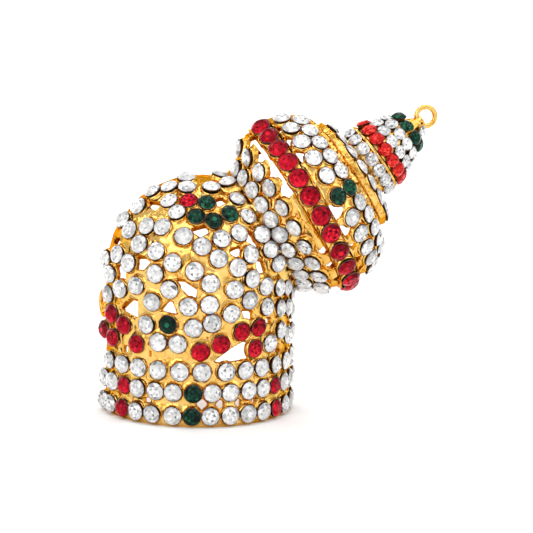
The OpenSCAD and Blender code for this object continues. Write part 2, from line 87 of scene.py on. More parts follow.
# Openings: turn, level, and the outline's points across and up, in millimetres
SHELL_HOLES = [
    (-7, 5, diamond(1.2)),
    (4.2, 4.9, diamond(1)),
    (16.2, 4.9, diamond(0.9)),
    (28, 4.9, diamond(0.7)),
    (-42, 5.1, [(-1, 0.3), (0.4, 0.5), (1, -0.3), (-0.4, -0.5)]),
    (-66, 5, diamond(0.8)),
    (63, 5, diamond(0.8)),
    (74, 5, diamond(0.8)),
    (-60.5, 15.2, [(-0.7, 0.6), (0.7, 0.6), (0.7, -0.6), (-0.7, -0.6)]),
    (13.5, 15.9, [(-4.6, -1.7), (-0.6, 1), (2, 2.1), (3, 1.8), (3, -1.5), (-3, -1.9)]),
    (50, 15.3, [(-1.2, -0.9), (0, 1.3), (1.2, -0.9)]),
    (72, 14.3, diamond(1, 0.6)),
    (-56, 24.3, [(-3.2, -0.6), (-0.2, 1.8), (2, 1.7), (2.1, -1.7), (-0.7, -1.1)]),
    (-28, 25.7, [(-1.9, -0.9), (-0.1, 1.3), (0.5, 1.1), (1.6, -1.4)]),
    (21.5, 23.8, [(-1.4, 1), (1, 0.7), (1.2, -1.1), (-0.8, -0.6)]),
    (39, 21.8, [(-0.8, 0.5), (0.8, 0.4), (0.9, -0.5), (-0.8, -0.4)]),
    (80, 24.3, [(-0.9, -0.7), (0, 1.1), (0.9, -0.7)]),
    (-17, 29.7, [(-2.3, 1.8), (-1, 1.8), (2, 0), (1.8, -1.9), (0.7, -1.8), (-1.2, 0)]),
    (-67.5, 31.1, [(-1.7, 1.8), (0.9, 1.7), (2.2, 0.6), (1.9, -1.8), (-0.4, -1.9), (-1.9, -0.2)]),
    (-47.5, 34.3, [(-1.5, 1.1), (0.1, 1.3), (2, 0.5), (0.5, -1.4), (-1.1, -1.5)]),
    (31.5, 33.8, [(-0.6, 1.9), (0.7, 1.2), (1.6, -1.4), (-0.5, -1.5), (-1.2, -0.2)]),
    (14, 37.3, [(-1.3, 0.4), (1.1, 1.2), (1.3, -0.2), (0, -1.1), (-1.2, -0.4)]),
    (28, 39.7, [(0, 2), (0.6, 0.7), (1.8, -1.6), (0.6, -1.7), (-1.5, -0.2), (-1.3, 0.5)]),
    (-79, 37.5, [(-1.8, 0.3), (1.6, 0.7), (2, -0.4), (-1, -0.8)]),
    (-9.5, 42, [(-1.8, 0.5), (1.2, 1.4), (1.7, -0.3), (0, -1.3), (-1.3, -0.4)]),
    (12.5, 49.3, [(-0.9, 0.9), (0.7, 1.3), (1.6, 0), (-0.2, -0.9), (-1.2, -1.3)]),
    (-55, 47.3, [(-2.4, 1), (0.6, 1), (1.5, -0.2), (1.2, -1.1), (-0.5, -0.7)]),
]
HOLE_ROUND = 0.12  # radius of their corners


def outline_distance(points, outline):
    """Signed distance from flat points to a closed outline, less than 0 inside: the
    nearest of its edges, with the sign from how often a ray crosses them. The outline is
    drawn in and let out again, which rounds its corners as filing does."""
    ring = np.array(outline, float)
    ring = ring * (1 - HOLE_ROUND / np.hypot(*ring.T).mean())
    nxt = np.roll(ring, -1, axis=0)
    edge = nxt - ring
    rel = points[:, None, :] - ring[None]
    along = np.clip((rel * edge).sum(2) / (edge ** 2).sum(1), 0, 1)
    gap = np.linalg.norm(rel - along[..., None] * edge, axis=2).min(1)
    up = (ring[:, 1] <= points[:, None, 1]) != (nxt[:, 1] <= points[:, None, 1])
    dy = np.where(np.abs(edge[:, 1]) < 1e-9, 1e-9, edge[:, 1])
    cross = points[:, None, 0] < ring[:, 0] + rel[..., 1] * edge[:, 0] / dy
    inside = (up & cross).sum(1) % 2 == 1
    return np.where(inside, -gap, gap) - HOLE_ROUND


FAR, HOLE_REACH, HOLE_DEPTH = 9.0, 7, 5


def holes_distance(places, holes):
    """Distance in millimetres from each place to the nearest opening's edge, less than 0
    in the opening and FAR where none is near. Each opening is cut square to the wall at
    its middle, as far round it and as deep as its reach and depth."""
    best = np.full(len(places), FAR)
    for (axes, origin), outline in holes:
        local = (places - origin) @ axes
        near = np.hypot(local[:, 0], local[:, 1]) < HOLE_REACH
        near &= np.abs(local[:, 2]) < HOLE_DEPTH
        best[near] = np.minimum(best[near], outline_distance(local[near, :2], outline))
    return best


def cut_sheet(rows, cols, distance):
    """Sheet of triangles over a grid of rows and columns, cut along the line where the
    distance is 0. Grid points within 0.3 of a cell from the line are moved onto it, down
    the distance's slope. The triangles that it still crosses are trimmed to the side where
    the distance is more than 0, with a new point wherever the line crosses an edge."""
    r, c = np.meshgrid(rows, cols, indexing="ij")
    flat = np.stack([r.ravel(), c.ravel()], axis=1)
    phi = distance(flat)
    step = np.array([np.diff(rows).mean(), np.diff(cols).mean()])
    nudge = step * 0.05
    slope = np.stack([(distance(flat + [nudge[0], 0]) - phi) / nudge[0],
                      (distance(flat + [0, nudge[1]]) - phi) / nudge[1]], axis=1)
    per_cell = np.abs(slope * step).sum(1) + 1e-9
    inner = (flat > [rows[0], cols[0]]).all(1) & (flat < [rows[-1], cols[-1]]).all(1)
    snap = (np.abs(phi) < 0.3 * per_cell) & inner
    scaled = slope[snap] * step
    flat[snap] -= phi[snap, None] * scaled / (scaled ** 2).sum(1)[:, None] * step
    phi[snap] = 0
    n, m = r.shape
    i = np.arange(n * m).reshape(n, m)
    a, b, d, e = (corner.ravel() for corner in (i[:-1, :-1], i[1:, :-1], i[1:, 1:], i[:-1, 1:]))
    # the cells are split by turns along one diagonal and the other
    odd = (np.add.outer(np.arange(n - 1), np.arange(m - 1)) % 2).ravel()[:, None].astype(bool)
    tri = np.concatenate([
        np.where(odd, np.stack([a, b, d], 1), np.stack([a, b, e], 1)),
        np.where(odd, np.stack([a, d, e], 1), np.stack([b, d, e], 1))])
    sign = np.sign(phi)[tri]
    whole = tri[(sign >= 0).all(1) & (sign > 0).any(1)]
    kept, pairs = [whole], []

    def turned(mask, want):
        """The triangles of one case, each turned until its wanted corner comes first."""
        t, s = tri[mask], sign[mask]
        k = (s == want).argmax(1)
        pick = (k[:, None] + np.arange(3)) % 3
        return np.take_along_axis(t, pick, 1), np.take_along_axis(s, pick, 1)

    def crossing(p, q):
        """Number of the new point where the line crosses each edge from p to q."""
        lo, hi = np.minimum(p, q), np.maximum(p, q)
        pairs.append(np.stack([lo, hi], 1))
        return -1 - (np.arange(len(p)) + sum(len(x) for x in pairs[:-1]))

    pos, neg = (sign > 0).sum(1), (sign < 0).sum(1)
    t, _ = turned((pos == 1) & (neg == 2), 1)
    kept.append(np.stack([t[:, 0], crossing(t[:, 0], t[:, 1]), crossing(t[:, 0], t[:, 2])], 1))
    t, _ = turned((pos == 2) & (neg == 1), -1)
    x1, x2 = crossing(t[:, 0], t[:, 1]), crossing(t[:, 0], t[:, 2])
    kept += [np.stack([x1, t[:, 1], t[:, 2]], 1), np.stack([x1, t[:, 2], x2], 1)]
    t, s = turned((pos == 1) & (neg == 1), 0)
    x = crossing(t[:, 1], t[:, 2])
    kept.append(np.where((s[:, 1] > 0)[:, None], np.stack([t[:, 0], t[:, 1], x], 1),
                         np.stack([t[:, 0], x, t[:, 2]], 1)))
    edges, number = np.unique(np.concatenate(pairs), axis=0, return_inverse=True)
    lo, hi = edges.T
    share = phi[lo] / (phi[lo] - phi[hi])
    new = flat[lo] + share[:, None] * (flat[hi] - flat[lo])
    tri = np.concatenate(kept)
    tri = np.where(tri < 0, len(flat) + number.ravel()[np.maximum(-1 - tri, 0)], tri)
    flat, phi = np.concatenate([flat, new]), np.append(phi, np.zeros(len(new)))
    used, tri = np.unique(tri, return_inverse=True)
    return flat[used], phi[used], tri.reshape(-1, 3)


def unit(rows):
    """Each row scaled to a length of 1."""
    return rows / (np.linalg.norm(rows, axis=1)[:, None] + 1e-12)


WAVES = 14


def lumps(places, size, height, seed):
    """Uneven cast surface: a sum of sine waves in many directions, with lengths about the
    given size, that adds up to about the given height."""
    rng = np.random.default_rng(seed)
    way = unit(rng.normal(size=(WAVES, 3)))
    way = way * (2 * np.pi / (size * rng.uniform(0.6, 1.7, WAVES)))[:, None]
    return np.sin(places @ way.T + rng.uniform(0, 6.28, WAVES)).sum(1) * height / 4


def smooth_step(x, low, high):
    """Rises from 0 at low to 1 at high along a cubic with level ends."""
    t = np.clip((x - low) / (high - low), 0, 1)
    return t * t * (3 - 2 * t)


def carried(profile, at):
    """Points of a profile at distances along it, by straight steps between its points, and
    its length."""
    run = np.concatenate([[0], np.cumsum(np.hypot(*np.diff(profile, axis=0).T))])
    return np.stack([np.interp(at, run, profile[:, k]) for k in (0, 1)], axis=-1), run[-1]


def revolved(frame_of, radius, height, turn):
    """Points of a surface of revolution: radius and height at a turn about the axis,
    where a turn of 0 faces the front."""
    local = np.stack([radius * np.sin(turn), -radius * np.cos(turn), height], axis=1)
    return local @ frame_of[0].T + frame_of[1]


def area_normals(points, tri):
    """Cross product of two edges of each triangle, which is square to it."""
    a, b, c = (points[tri[:, k]] for k in range(3))
    return np.cross(b - a, c - a)


def border_of(tri):
    """Edges that only one triangle of a sheet has, each in that triangle's order."""
    edges = np.concatenate([tri[:, [0, 1]], tri[:, [1, 2]], tri[:, [2, 0]]])
    _, first, count = np.unique(np.sort(edges, axis=1), axis=0, return_index=True,
                                return_counts=True)
    return edges[first[count == 1]]


SHARP_EDGE = math.radians(35)


def mesh_piece(name, verts, faces, materials, face_material=None, facets=False):
    """Object made from arrays of points in millimetres and of triangles or quads. Facets
    stay flat; any other surface is smooth but for the edges sharper than SHARP_EDGE."""
    sizes = np.concatenate([np.full(len(f), f.shape[1]) for f in faces])
    corners = np.concatenate([f.ravel() for f in faces]).astype(np.int32)
    starts = np.concatenate([[0], np.cumsum(sizes)[:-1]]).astype(np.int32)
    me = bpy.data.meshes.new(name)
    me.vertices.add(len(verts))
    me.vertices.foreach_set("co", (np.asarray(verts, np.float32) * MM).ravel())
    me.loops.add(len(corners))
    me.loops.foreach_set("vertex_index", corners)
    me.polygons.add(len(sizes))
    me.polygons.foreach_set("loop_start", starts)
    if face_material is not None:
        me.polygons.foreach_set("material_index", np.asarray(face_material, np.int32))
    me.update(calc_edges=True)
    me.validate()
    me.polygons.foreach_set("use_smooth", np.full(len(me.polygons), not facets))
    if not facets:
        me.set_sharp_from_angle(angle=SHARP_EDGE)
    for material in materials:
        me.materials.append(material)
    piece = bpy.data.objects.new(name, me)
    bpy.context.scene.collection.objects.link(piece)
    return piece


# The burr that the file leaves round an opening, and how much painted shade the inside gets
LIP_H, LIP_AT, LIP_W = 0.13, 0.3, 0.22
FILED_BACK, FILED_W = 0.35, 0.9
INSIDE_SHADE = 0.42


def wall_of_revolution(frame_of, outer, inner, holes, spacing, relief, edge=0.18,
                       plane=None, ledge=None):
    """Closed wall between two profiles of radius and height, each carried round the front
    half of the axis. The outer skin is cut by the openings and by a plane (a point and the
    normal on the side that stays), swells by the relief, and falls away in a quarter round
    towards every edge. The inner skin follows the inner profile and draws back a little
    from each opening, as the file leaves it, and both are joined along every edge. The
    ledge is the radius that the inner skin comes in to at the plane. Gives points,
    triangles and how much painted shade each point gets: the relief's, more at every cut
    edge, and a fixed amount on the inner skin."""
    length = carried(outer, 0)[1]
    rows = np.linspace(0, 1, int(length / spacing) + 2)
    cols = np.radians(np.linspace(-90, 90, int(np.pi * outer[:, 0].max() / spacing) + 2))

    def skin(flat, profile):
        """Points and radii of a profile's surface, at shares of its length and turns."""
        at, _ = carried(profile, flat[:, 0] * carried(profile, 0)[1])
        return revolved(frame_of, at[:, 0], at[:, 1], flat[:, 1]), at[:, 0]

    def above_plane(places):
        """How far past the plane a place lies, on the side that stays."""
        return (places - plane[0]) @ plane[1]

    def kept(flat):
        """How far inside the metal that stays a point of the outer skin lies."""
        places = skin(flat, outer)[0]
        clear = holes_distance(places, holes)
        return clear if plane is None else np.minimum(clear, above_plane(places))

    flat, phi, tri = cut_sheet(rows, cols, kept)
    nudge = 1e-3
    even, radius = skin(flat, outer)
    upward = skin(flat + [nudge, 0], outer)[0] - skin(flat - [nudge, 0], outer)[0]
    round_way = np.stack([np.cos(flat[:, 1]), np.sin(flat[:, 1]), 0 * radius], 1)
    normal = unit(np.cross(round_way @ frame_of[0].T, upward))
    border = np.minimum(np.minimum(flat[:, 0], 1 - flat[:, 0]) * length,
                        np.minimum(flat[:, 1] - cols[0], cols[-1] - flat[:, 1]) * radius)
    nearest = np.minimum(phi, border)
    inward = np.clip(edge - nearest, 0, edge)
    round_off = edge - np.sqrt(np.clip(edge ** 2 - inward ** 2, 0, None))
    lip = LIP_H * np.exp(-((phi - LIP_AT) / LIP_W) ** 2)
    swell, recess_shade = relief(even)
    out = even + normal * (swell * smooth_step(nearest, 0, 0.5) + lip - round_off)[:, None]

    behind = flat.copy()
    near = (phi < FILED_W) & (border > 0.4)
    slope = np.stack([(kept(flat[near] + step) - phi[near]) / nudge
                      for step in ([nudge, 0], [0, nudge])], 1)
    share = FILED_BACK * (1 - smooth_step(phi[near], 0, FILED_W))
    behind[near] += slope * (share / np.maximum((slope ** 2).sum(1), 1e-6))[:, None]
    back, _ = skin(behind, inner)
    if plane is not None:
        back -= np.minimum(above_plane(back), 0)[:, None] * plane[1]
    if ledge is not None:
        local = (back - frame_of[1]) @ frame_of[0]
        local[:, :2] *= (ledge / np.hypot(local[:, 0], local[:, 1]))[:, None]
        end = local @ frame_of[0].T + frame_of[1]
        along = frame_of[0][:, 2]
        end -= (above_plane(end) / (along @ plane[1]))[:, None] * along
        back += (end - back) * (1 - smooth_step(above_plane(even), 0, 1.6))[:, None]

    n, rim = len(out), border_of(tri)
    if np.median((area_normals(out, tri) * normal[tri[:, 0]]).sum(1)) < 0:
        tri, rim = tri[:, ::-1], rim[:, ::-1]
    a, b = rim.T
    verts = np.concatenate([out, back])
    faces = np.concatenate([tri, tri[:, ::-1] + n, np.stack([b, a, a + n], 1),
                            np.stack([b, a + n, b + n], 1)])
    faces = faces[np.linalg.norm(area_normals(verts, faces), axis=1) > 1e-7]
    # painted shade at every cut edge, and a fixed painted shade on the inner skin
    recess_shade = np.maximum(recess_shade, 0.25 * (1 - smooth_step(phi, 0, 0.2)))
    return verts, faces, np.concatenate([recess_shade, np.full(n, INSIDE_SHADE)])


STONE_GAP = 0.1


def stones_of(*nodes):
    """Middle of the seat, outward axis and girdle radius of each stone in some CAD nodes,
    in millimetres. A stone is an island of its node's mesh: each point takes the lowest
    number among its triangles until nothing changes. Its axis is the way it is thinnest,
    away from the flat back, and its seat lies STONE_GAP below the back."""
    found = []
    for node in nodes:
        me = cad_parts[node].data
        co = np.empty(len(me.vertices) * 3)
        me.vertices.foreach_get("co", co)
        points, number = np.unique(np.round(co.reshape(-1, 3) / MM, 3), axis=0,
                                   return_inverse=True)
        corners = np.empty(len(me.loops), np.int32)
        me.loops.foreach_get("vertex_index", corners)
        tri = number.ravel()[corners].reshape(-1, 3)
        label, new = None, np.arange(len(points))
        while label is None or (new != label).any():
            label = new.copy()
            np.minimum.at(new, tri.ravel(), np.repeat(label[tri].min(1), 3))
        for k in np.unique(label):
            p = points[label == k]
            middle = p.mean(0)
            axis = np.linalg.svd(p - middle, full_matrices=False)[2][2]
            high = (p - middle) @ axis
            wide = np.linalg.norm(p - middle - high[:, None] * axis, axis=1)
            girdle = high[wide > 0.85 * wide.max()].mean()
            if high.max() - girdle > girdle - high.min():
                axis, high = -axis, -high
            seat = middle + axis * (high.min() - STONE_GAP)
            found.append(np.concatenate([seat, axis, [wide.max()]]))
    return np.array(found)


ALL_STONES = stones_of(*[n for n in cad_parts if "stone" in n])


def seats(places, height=0.3):
    """Raised pads of metal round the stones' backs: full height under the stone, falling
    away from 0.9 to 1.4 of its radius. Also gives the painted shade under the stone's
    overhang, which ends at 1.15 of it."""
    raised, shade = np.zeros(len(places)), np.zeros(len(places))
    for stone in ALL_STONES:
        rel = places - stone[:3]
        near = np.abs(rel).max(1) < 4
        if near.any():
            axis, high = stone[3:6], rel[near] @ stone[3:6]
            off = np.linalg.norm(rel[near] - high[:, None] * axis, axis=1) / stone[6]
            level = np.abs(high) < 1.5
            raised[near] = np.maximum(raised[near], level * (1 - smooth_step(off, 0.9, 1.4)))
            shade[near] = np.maximum(shade[near], level * (1 - smooth_step(off, 1.0, 1.15)))
    return raised * height, shade


def cast_relief(seed, rough=0.19, overhang_shade=0.75):
    """The cast skin: lumps of 5 mm, finer ones of 1.9 mm on them, and the seats, with
    painted shade under the stones' overhang. Towards the back edges the colour is darker and
    the surface rougher."""
    def relief(out):
        """Swell and painted recess shade at places on the outer skin."""
        pads, shade = seats(out)
        swell = lumps(out, 5.0, rough, seed) + lumps(out, 1.9, rough * 0.28, seed + 1) + pads
        # the shade under the stones is painted into the colour at the given weight; towards the
        # back edges the colour is darker too
        return swell, np.maximum(overhang_shade * shade, 0.3 * smooth_step(out[:, 1], -9, -1))
    return relief


def linear(code):
    """sRGB hex colour turned to the linear values that the nodes use."""
    parts = [int(code[i:i + 2], 16) / 255 for i in (1, 3, 5)]
    return [p / 12.92 if p <= 0.04045 else ((p + 0.055) / 1.055) ** 2.4 for p in parts] + [1.0]


def add(tree, kind, inputs, stops=(), **settings):
    """One shader node with its settings and links. An input takes a value, a socket, or a
    node whose first output feeds it. A colour ramp also has stops of place and colour."""
    made = tree.nodes.new("ShaderNode" + kind)
    for key, value in settings.items():
        setattr(made, key, value)
    for key, value in inputs.items():
        if isinstance(value, bpy.types.Node):
            value = value.outputs[0]
        if isinstance(value, bpy.types.NodeSocket):
            tree.links.new(value, made.inputs[key])
        else:
            made.inputs[key].default_value = value
    ramp = made.color_ramp.elements if stops else ()
    while len(ramp) < len(stops):
        ramp.new(0.5)
    for element, (at, code) in zip(ramp, stops):
        element.position, element.color = at, linear(code)
    return made


def new_material(name):
    """Node material without any nodes yet, and its tree."""
    material = bpy.data.materials.new(name)
    material.use_nodes = True
    material.node_tree.nodes.clear()
    return material, material.node_tree


# Gilt cast brass, roughly polished: a thin layer of gold over an uneven casting. The eye
# sees a pale yellow mirror, broken by dents about a millimetre wide and by fine creases.
# Its colour is painted orange and brown as shade in the creases, in recesses, in the cups
# and under the stones, and deepens a little in random cloudy patches.
cast_gold, tree = new_material("gilt_cast_brass")
place = add(tree, "TexCoord", {}).outputs["Object"]
# how much painted shade the casting gives each point, as if it lay in a recess
depth = add(tree, "Attribute", {}, attribute_name="recess_shade").outputs["Fac"]
cloud = add(tree, "TexNoise", {"Vector": place, "Scale": 1 / (4.5 * MM), "Detail": 3.0})
# a crease is the thin line where a noise passes its middle, cut in by the bump and
# painted darker as shade in it; the cloud breaks it up, and it is faint inside the shell
wander = add(tree, "TexNoise", {"Vector": place, "Scale": 1 / (3.2 * MM), "Detail": 1.5,
                                "Distortion": 0.6})
off = add(tree, "Math", {0: wander, 1: 0.5}, operation="SUBTRACT")
off = add(tree, "Math", {0: off}, operation="ABSOLUTE")
crease = add(tree, "MapRange", {"Value": off, "From Min": 0.0, "From Max": 0.017,
                                "To Min": 1.0, "To Max": 0.0})
broken = add(tree, "MapRange", {"Value": cloud, "From Min": 0.36, "From Max": 0.5})
crease = add(tree, "Math", {0: crease, 1: broken}, operation="MULTIPLY")
outside = add(tree, "MapRange", {"Value": depth, "From Min": 0.25,
                                 "From Max": INSIDE_SHADE, "To Min": 1.0, "To Max": 0.15})
crease = add(tree, "Math", {0: crease, 1: outside}, operation="MULTIPLY")
# the colour deepens with the painted shade of recesses and creases, and with the cloud
deep = add(tree, "Math", {0: cloud, 1: 0.4, 2: depth}, operation="MULTIPLY_ADD")
deep = add(tree, "Math", {0: crease, 1: 0.42, 2: deep}, operation="MULTIPLY_ADD")
colour = add(tree, "ValToRGB", {"Fac": deep}, stops=[
    (0.1, "#F2CA7A"), (0.35, "#E1AC4F"), (0.62, "#C4842F"), (0.85, "#6A3C14")])
dents = add(tree, "TexNoise", {"Vector": place, "Scale": 1 / (1.3 * MM), "Detail": 4.0,
                               "Roughness": 0.6})
dull = add(tree, "MapRange", {"Value": dents, "From Min": 0.3, "From Max": 0.75,
                              "To Min": 0.1, "To Max": 0.24})
dull = add(tree, "Math", {0: depth, 1: 0.3, 2: dull}, operation="MULTIPLY_ADD")
height = add(tree, "Math", {0: crease, 1: -0.5, 2: dents}, operation="MULTIPLY_ADD")
bump = add(tree, "Bump", {"Height": height, "Strength": 0.35, "Distance": 0.2 * MM})
shader = add(tree, "BsdfPrincipled", {
    "Base Color": colour, "Metallic": 1.0, "Roughness": dull, "Normal": bump,
    "Specular Tint": linear("#DCA45C")})
add(tree, "OutputMaterial", {"Surface": shader})


COLLAR_EDGE, COLLAR_TOP_R = 23.7, 19.4


def collar_r(u):
    """Radius of the collar, flaring along the bun's axis and level before its edge."""
    return np.minimum(COLLAR_TOP_R, 13.6 + 0.25 * (u - 13.5) + 0.04 * (u - 13.5) ** 2)


# Openings along the collar's edge, with outlines measured from the edge down
COLLAR_HOLES = [
    (-75, [(-1.7, 0.5), (-1.7, -0.7), (-0.8, -1.7), (0.5, -2), (1.4, -0.9), (3.4, -0.7),
           (3.4, 0.5)]),
    (-57.5, [(-3.3, 0.5), (-3.3, -0.7), (-1.6, -0.9), (-0.9, -1.9), (0.3, -2.3), (1.3, -1.7),
             (1.6, -0.8), (3.2, -0.6), (3.2, 0.5)]),
    (-41.5, [(-3, 0.5), (-3, -0.6), (-1.6, -0.9), (-1, -2), (0.3, -2.4), (1.2, -1.8),
             (1.5, -0.7), (2.9, -0.5), (2.9, 0.5)]),
    (-26.5, [(-2.8, 0.5), (-2.8, -0.5), (-1.5, -0.8), (-1, -2), (0.8, -2.2), (1.7, -1.9),
             (1.3, 0.5)]),
    (20.5, [(-1.1, -0.3), (-0.5, -1.4), (0.6, -1.4), (1.1, -0.3), (0.8, 0.5), (-0.8, 0.5)]),
    (34.5, [(-1.1, -0.3), (-0.6, -1.3), (0.6, -1.3), (1.1, -0.3), (0.8, 0.5), (-0.8, 0.5)]),
    (52, [(-0.9, -0.2), (-0.4, -1.1), (0.4, -1.1), (0.9, -0.2), (0.8, 0.5), (-0.8, 0.5)]),
]


def grid_triangles(rows, cols, round_rows=False, round_cols=False):
    """Triangles over a grid of points, row after row. It is closed from its last row or
    column to the first where that is said, and faces the way that columns turn to rows."""
    i = np.arange(rows * cols).reshape(rows, cols)
    i = np.vstack([i, i[:1]]) if round_rows else i
    i = np.hstack([i, i[:, :1]]) if round_cols else i
    a, b, c, d = (k.ravel() for k in (i[:-1, :-1], i[:-1, 1:], i[1:, 1:], i[1:, :-1]))
    return np.concatenate([np.stack([a, b, c], 1), np.stack([a, c, d], 1)])


def carried_round(frame_of, profile, sides):
    """Points and triangles of a profile of radius and height, from low to high, carried
    all round the axis."""
    turn = np.tile(np.arange(sides) * 2 * np.pi / sides, len(profile))
    radius, height = np.repeat(profile, sides, axis=0).T
    return (revolved(frame_of, radius, height, turn),
            grid_triangles(len(profile), sides, round_cols=True))


def wire_ring(frame_of, radius, wire):
    """Ring of round wire, square to the frame's x axis: a circle of the wire's section
    carried round a larger circle, which reaches the radius with its outside."""
    steps, sides = 56, 20
    a, b = np.meshgrid(np.arange(steps) * -2 * np.pi / steps,
                       np.arange(sides) * 2 * np.pi / sides, indexing="ij")
    reach = radius - wire / 2 + wire / 2 * np.cos(b)
    p = np.stack([wire / 2 * np.sin(b), reach * np.cos(a), reach * np.sin(a)], -1)
    return (p.reshape(-1, 3) @ frame_of[0].T + frame_of[1],
            grid_triangles(steps, sides, True, True)[:, ::-1])


def about_z(degrees):
    """Turn about the z axis."""
    return np.array(Matrix.Rotation(math.radians(degrees), 3, "Z"))


def casting(name, parts):
    """One piece of gilt brass from parts, each of points, triangles and how much painted
    shade every point gets, or one number for all. The material reads that from the points."""
    start = np.cumsum([0] + [len(p[0]) for p in parts])
    faces = np.concatenate([p[1] + s for p, s in zip(parts, start)])
    piece = mesh_piece(name, np.concatenate([p[0] for p in parts]), [faces], [cast_gold])
    recess_shade = np.concatenate([np.broadcast_to(p[2], len(p[0])) for p in parts])
    piece.data.attributes.new("recess_shade", "FLOAT", "POINT").data.foreach_set(
        "value", recess_shade.astype(np.float32))
    return piece


# How far stones lean to the front: those that face left, those that face down, the rest
UPRIGHT_STONES, CROWN_LEAN, COLLAR_LEAN = (0.0, 0.0, 0.0), (0.35, 0.0, 0.0), (0.05, 0.4, 0.05)


def leaning(stones, lean):
    """The same stones, each turned towards the front by its lean times how far it faces
    away from it, as when it is pressed into a soft cup from the front."""
    turned = stones.copy()
    amount = np.select([stones[:, 3] < -0.6, stones[:, 5] < -0.3], lean[:2], lean[2])
    turned[:, 4] -= amount * (1 + stones[:, 4])
    turned[:, 3:6] = unit(turned[:, 3:6])
    return turned


# A way that no stone faces: each stone's side lies square to it and to the stone's axis
ASIDE = [0.3, 0.2, 1.0]


def cups(nodes, seed, height=0.24, lean=UPRIGHT_STONES):
    """Metal cups round the stones of some CAD nodes, in units of each stone's radius: a
    profile of a wall with a sloped outside, carried round the stone's axis. It stands a
    little to one side of the stone, and its width and its rim rise and fall in two or
    three waves a turn, as soft metal pushed up by hand does."""
    sides = 12
    stones = leaning(stones_of(*nodes), lean)
    rng = np.random.default_rng(seed)
    n = len(stones)
    axis = stones[:, 3:6]
    side = unit(np.cross(axis, ASIDE))
    up = np.cross(axis, side)
    a = np.arange(sides) * 2 * np.pi / sides
    foot = -0.2 - 0.3 * lean[1]
    profile = np.array([[1.2, foot], [1.11, height - 0.08], [1.03, height],
                        [0.97, height - 0.1], [0.93, foot]])
    # painted shade round the cup: a little on its outside, least on its rim, most down its inside
    recess_shade = np.repeat([0.3, 0.1, 0.05, 0.8, 1.0], sides)
    wave = 1 + 0.03 * np.sin(2 * a + rng.uniform(0, 6.28, (n, 1)))
    wave = wave + 0.02 * np.sin(3 * a + rng.uniform(0, 6.28, (n, 1)))
    rise = 0.07 * np.sin(2 * a + rng.uniform(0, 6.28, (n, 1)))
    shift = np.clip(rng.normal(0, 0.04, (n, 2)), -0.06, 0.06)
    r = profile[None, :, None, 0] * wave[:, None]
    h = profile[None, :, None, 1] + rise[:, None] * (profile[:, 1] > 0)[None, :, None]
    x = r * np.cos(a) + shift[:, None, None, 0]
    y = r * np.sin(a) + shift[:, None, None, 1]
    p = sum(along[..., None] * way[:, None, None]
            for along, way in ((x, side), (y, up), (h, axis)))
    p = p * stones[:, None, None, 6:7] + stones[:, None, None, :3]
    tri = grid_triangles(len(profile), sides, True, True)
    tri = (tri + np.arange(n)[:, None, None] * len(recess_shade)).reshape(-1, 3)
    return p.reshape(-1, 3), tri, np.tile(recess_shade, n)


def numbered(stem):
    """CAD nodes whose names are a stem and a number."""
    return sorted(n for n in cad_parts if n.startswith(stem) and n[len(stem):].isdigit())


def dome_line(radius):
    """Profile of the tube and its dome: straight up, then a quarter circle to the top."""
    a = np.linspace(0, np.pi / 2, 90)
    return np.concatenate([[[radius, 0.0]],
                           np.stack([radius * np.cos(a), TUBE_H + radius * np.sin(a)], 1)])


# the tube and its dome
body = wall_of_revolution(
    UPRIGHT, dome_line(SHELL_R), dome_line(SHELL_R - WALL),
    [(shell_level(t, z), o) for t, z, o in SHELL_HOLES], 0.34, cast_relief(3))

# the collar starts inside the dome and ends level with the bun
u = np.linspace(15.6, COLLAR_EDGE + 0.07, 34)
v = np.linspace(14.3, COLLAR_EDGE + 0.1, 35)
# the collar's stones get a lighter painted shade under them than the dome's
collar = wall_of_revolution(
    ON_BUN, np.concatenate([[[15.1, 12.8]], np.stack([collar_r(u), u], 1)]),
    np.stack([collar_r(v) - WALL, v], 1),
    [(wall_frame(ON_BUN, t, COLLAR_EDGE, COLLAR_TOP_R, 0), o) for t, o in COLLAR_HOLES], 0.3,
    cast_relief(8, rough=0.16, overhang_shade=0.45), edge=0.1)

# the tie rings, each turned a little about upright, and the beads of solder behind them
RING_X, RING_Y, RING_Z, RING_R, RING_WIRE = 20.1, 0.8, 23.0, 3.1, 1.0
SOLDER_Y, SOLDER_R = -1.4, 0.9
a = np.linspace(-np.pi / 2, np.pi / 2, 15)
bead_line = np.stack([np.cos(a), np.sin(a)], 1) * SOLDER_R
rings = []
for side, turn in ((-1, 6), (1, 8)):
    place = (about_z(turn), (side * RING_X, RING_Y, RING_Z))
    rings.append(wire_ring(place, RING_R, RING_WIRE) + (0.1,))
    place = (np.eye(3), (side * RING_X, SOLDER_Y, RING_Z))
    rings.append(carried_round(place, bead_line, 28) + (0.2,))
scattered = numbered("red_stone_") + numbered("green_stone_")
crown_cups = cups(["tube_clear_stones", "dome_clear_stones"] + scattered, 12, lean=CROWN_LEAN)
collar_cups = cups(["collar_clear_stones"], 13, lean=COLLAR_LEAN)
crown_casting = casting("crown_casting", [body, collar, crown_cups, collar_cups] + rings)
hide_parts("crown_shell")
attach(crown_casting, "root")

# ------------------------ the side bun
# A second casting soldered to the collar's edge: a smooth band between two raised edges,
# which holds the red stones, and a rounded shoulder pierced between the stones' cups.
# Its last two millimetres before the plate were hammered to spread the solder.

BAND_AT, BAND_W, BAND_EDGE, BUN_WALL = 23.8, 4.7, 0.3, 1.5
SHOULDER_AT, SHOULDER_R = 27.5, 11.3
PLATE_TILT, PLATE_AT, PLATE_R, PLATE_T = 33.0, 38.9, 13.0, 1.2
ON_PLATE = tilted(PLATE_TILT, start=ON_BUN[1] + ON_BUN[0][:, 2] * PLATE_AT)
